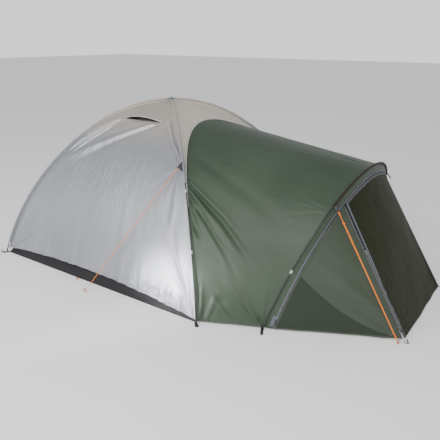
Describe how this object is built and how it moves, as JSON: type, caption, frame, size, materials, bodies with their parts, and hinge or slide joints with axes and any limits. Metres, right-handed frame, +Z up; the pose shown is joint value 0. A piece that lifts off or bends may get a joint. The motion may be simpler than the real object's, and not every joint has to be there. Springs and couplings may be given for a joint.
{
  "type": "dome tent",
  "caption": "Square dome tent on crossed bent poles with a hooped front porch, zipped doors, inner tent, guy lines and pegs, pitched for use.",
  "frame": {"origin": "on the ground under the crown, at the centre of the square floor", "axes": "+Z up, +X towards the front of the porch, -Y towards the side door"},
  "size_m": [3.3677, 2.2661, 1.3288],
  "materials": {
    "silver_fly": "aluminium-coated polyester taffeta, silver",
    "green_fly": "coated polyester taffeta, olive green",
    "dark_green_fly": "coated polyester taffeta, dark green",
    "tub_fabric": "woven polyethylene, dark grey",
    "inner_fabric": "breathable polyester, pale",
    "mesh": "fine insect mesh, black",
    "black_webbing": "black polypropylene webbing",
    "grey_webbing": "silver-grey coated fabric",
    "zip_tape": "blue-grey zip tape with nylon coil",
    "orange_cord": "braided cord, orange",
    "elastic": "elastic cord, black",
    "pole_black": "black fibreglass",
    "steel": "zinc-plated steel",
    "plastic_black": "moulded nylon, black",
    "plastic_grey": "moulded nylon, pale grey"
  },
  "bodies": {
    "root": {"fly_near": "silver_fly", "fly_far": "silver_fly", "fly_back": "silver_fly", "fly_front_gable": "silver_fly", "vent_hood_near": "silver_fly", "vent_hood_far": "silver_fly", "vent_mesh_near": "mesh", "vent_mesh_far": "mesh", "crown_cap": "grey_webbing", "porch_side_near": "green_fly", "porch_side_far": "green_fly", "porch_roof": "green_fly", "porch_header": "green_fly", "header_zip_tape": "zip_tape", "side_panel_far": "dark_green_fly", "groundsheet_tub": "tub_fabric", "inner_wall_near": "inner_fabric", "inner_wall_far": "inner_fabric", "inner_wall_back": "inner_fabric", "inner_wall_front": "inner_fabric", "inner_toggles": "plastic_black", "lantern_loop": "black_webbing", "dome_pole_lower": "pole_black", "dome_pole_upper": "pole_black", "hoop_pole": "pole_black", "pole_ferrules": "steel", "shock_cords": "elastic", "pole_tips": "plastic_black", "foot_pins": "steel", "dome_sleeves": "grey_webbing", "hoop_sleeve": "dark_green_fly", "dome_clips": "plastic_grey", "hoop_clips": "plastic_grey", "corner_straps": "black_webbing", "corner_buckles": "plastic_black", "hoop_foot_straps": "black_webbing", "front_corner_loops": "elastic", "hem_loops": "orange_cord", "corner_pegs": "steel", "porch_pegs": "steel", "hem_pegs": "steel", "guy_pegs": "steel", "guy_tabs": "grey_webbing", "guy_rings": "plastic_black", "guy_line_dome": "orange_cord", "guy_line_hoop": "orange_cord", "guy_loops": "orange_cord", "guy_knot": "orange_cord"},
    "front_door": {"front_door": "dark_green_fly", "front_door_zip_tapes": "zip_tape"},
    "front_zip": {"front_zip_slider": "plastic_black"},
    "side_door": {"side_door": "dark_green_fly", "side_door_zip_tapes": "zip_tape"},
    "side_zip": {"side_zip_slider": "plastic_black"},
    "inner_door": {"inner_door": "inner_fabric", "inner_door_mesh": "mesh"},
    "inner_zip": {"inner_zip_slider": "plastic_black"},
    "vent_prop_near": {"vent_prop_near": "plastic_black"},
    "vent_prop_far": {"vent_prop_far": "plastic_black"}
  },
  "joints": [
    {"name": "front_door_swing", "type": "hinge", "parent": "root", "child": "front_door", "pos_m": [2.245, 0.448, 0.012], "axis": [-0.518, -0.0405, 0.8544], "range_deg": [0, 110]},
    {"name": "front_zip_slide", "type": "slide", "parent": "front_door", "child": "front_zip", "axis": [-0.518, 0.0405, 0.8544], "range_m": [0, 0.8]},
    {"name": "side_door_swing", "type": "hinge", "parent": "root", "child": "side_door", "pos_m": [1.509, -0.824, 0.012], "axis": [-0.8905, -0.4549, 0], "range_deg": [0, 66]},
    {"name": "side_zip_run", "type": "hinge", "parent": "root", "child": "side_zip", "pos_m": [1.509, 0.36004, 0.012], "axis": [-0.953, 0, 0.3029], "range_deg": [0, 20]},
    {"name": "inner_door_swing", "type": "hinge", "parent": "root", "child": "inner_door", "pos_m": [0.94011, 0.34, 0.17682], "axis": [-0.3498, 0, 0.9368], "range_deg": [0, 80]},
    {"name": "inner_zip_slide", "type": "slide", "parent": "inner_door", "child": "inner_zip", "axis": [0, -1, 0], "range_m": [0, 0.5]},
    {"name": "vent_prop_near_fold", "type": "hinge", "parent": "root", "child": "vent_prop_near", "pos_m": [0.002, -0.36254, 1.16652], "axis": [-1, 0, 0], "range_deg": [0, 48]},
    {"name": "vent_prop_far_fold", "type": "hinge", "parent": "root", "child": "vent_prop_far", "pos_m": [0.002, 0.36254, 1.16652], "axis": [1, 0, 0], "range_deg": [0, 48]}
  ]
}
